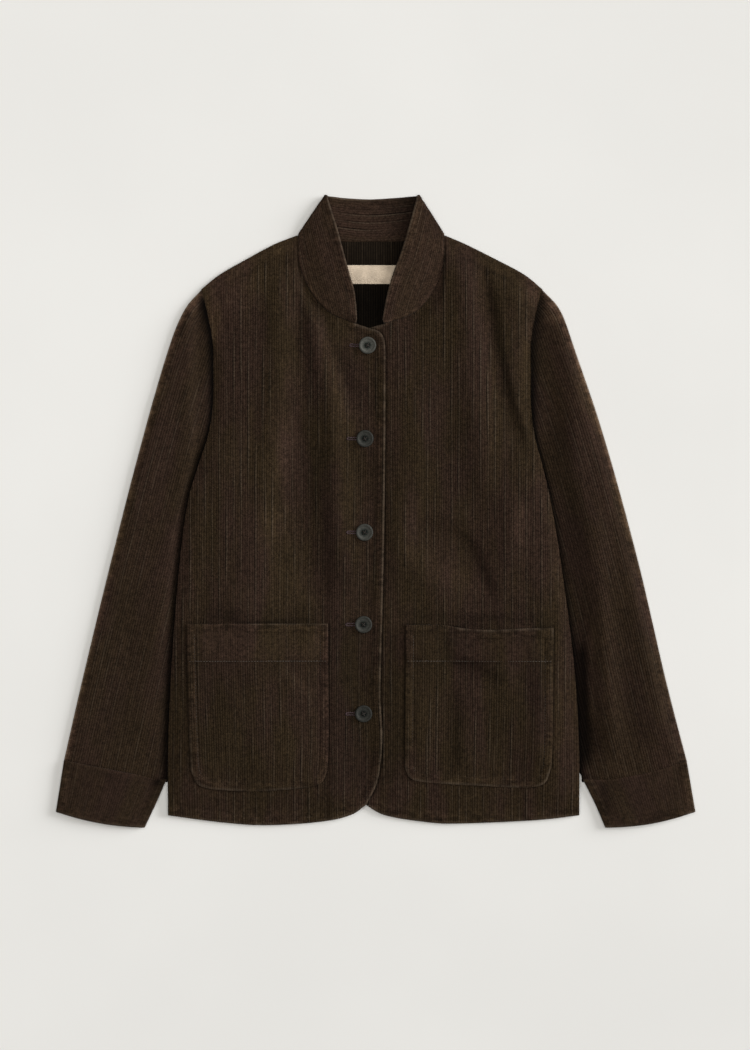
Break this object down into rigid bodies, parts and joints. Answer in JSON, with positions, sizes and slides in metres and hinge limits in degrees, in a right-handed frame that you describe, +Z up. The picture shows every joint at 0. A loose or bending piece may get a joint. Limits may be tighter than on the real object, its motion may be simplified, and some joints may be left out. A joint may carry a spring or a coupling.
{
  "type": "corduroy jacket",
  "caption": "Corduroy jacket with a stand collar, a buttoned front and two patch pockets, laid flat on its back.",
  "frame": {"origin": "on the surface that the jacket lies on, under the middle of its outline", "axes": "+Z up from the surface, +Y towards the collar, +X towards the wearer's left sleeve"},
  "size_m": [0.716, 0.7059, 0.0143],
  "materials": {
    "corduroy": "cotton corduroy, dark olive brown, fine even wales about 2.7 mm apart, soft pile",
    "button_plastic": "dark grey green, soft gloss",
    "label_cloth": "plain cream woven cloth"
  },
  "bodies": {
    "root": {"back": "corduroy", "front_right": "corduroy", "front_left": "corduroy", "sleeve_right": "corduroy", "sleeve_left": "corduroy", "cuff_right": "corduroy", "cuff_left": "corduroy", "collar": "corduroy", "pocket_right": "corduroy", "pocket_left": "corduroy", "neck_label": "label_cloth", "button_1": "button_plastic", "button_2": "button_plastic", "button_3": "button_plastic", "button_4": "button_plastic", "button_5": "button_plastic"}
  },
  "joints": []
}
